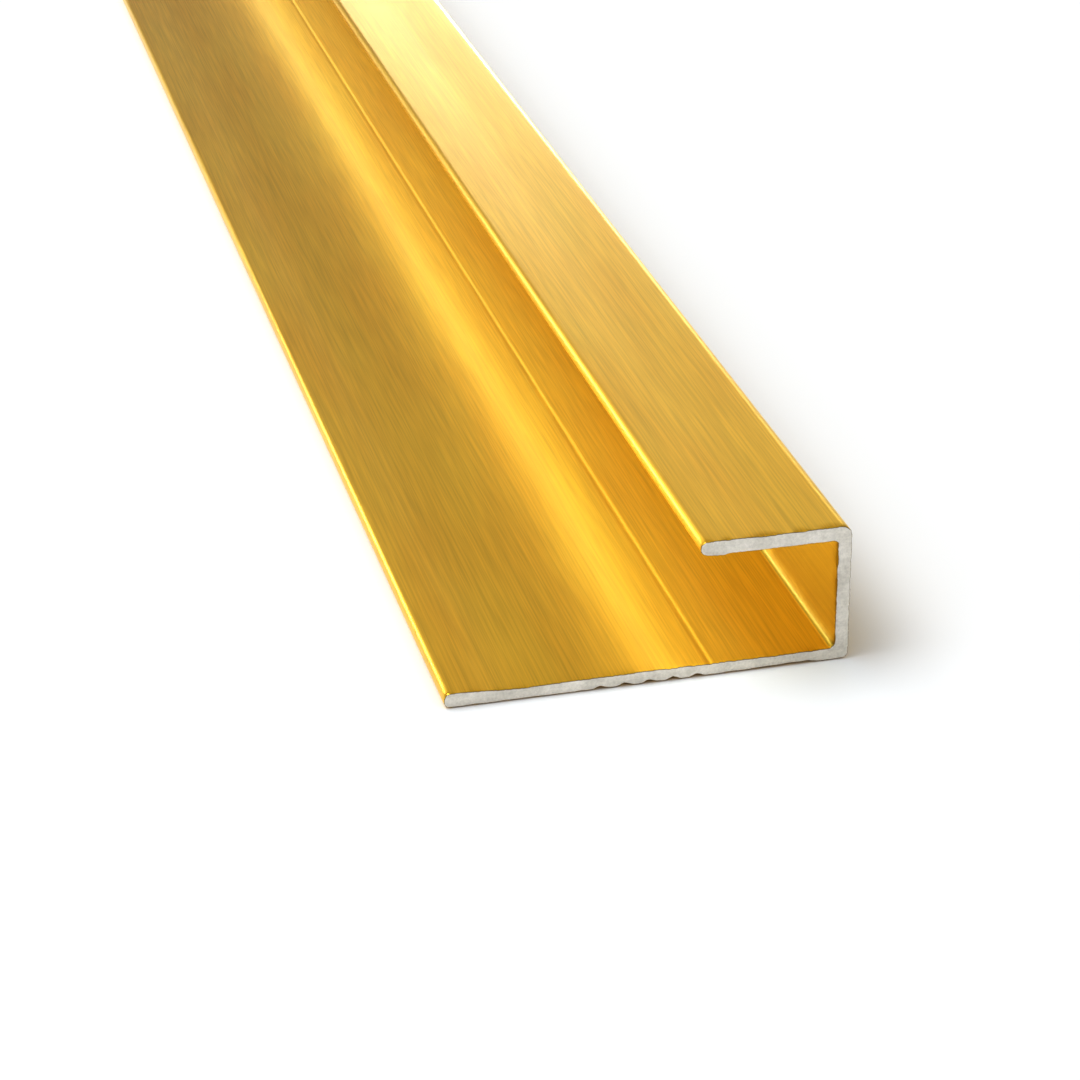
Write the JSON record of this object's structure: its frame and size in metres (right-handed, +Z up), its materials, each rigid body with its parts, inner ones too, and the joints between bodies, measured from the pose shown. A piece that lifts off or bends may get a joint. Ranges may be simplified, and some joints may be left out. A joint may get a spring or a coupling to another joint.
{
  "type": "aluminium edge profile",
  "caption": "J-shaped edge profile of gold anodised aluminium: a wide base, a web and a short lip that turns back over the base to hold the edge of a board, cut square at both ends.",
  "frame": {"origin": "middle of the underside, at mid width and mid length, on the floor the stock lies on", "axes": "+X across the section from the free edge of the base to the web, +Y along the stock away from the cut end that the picture shows, +Z up"},
  "size_m": [0.03, 0.9, 0.0106],
  "materials": {
    "gold_anodised_aluminium": "brushed lengthwise and anodised gold, bare at the sawn ends"
  },
  "bodies": {
    "root": {"edge_profile": "gold_anodised_aluminium"}
  },
  "joints": []
}
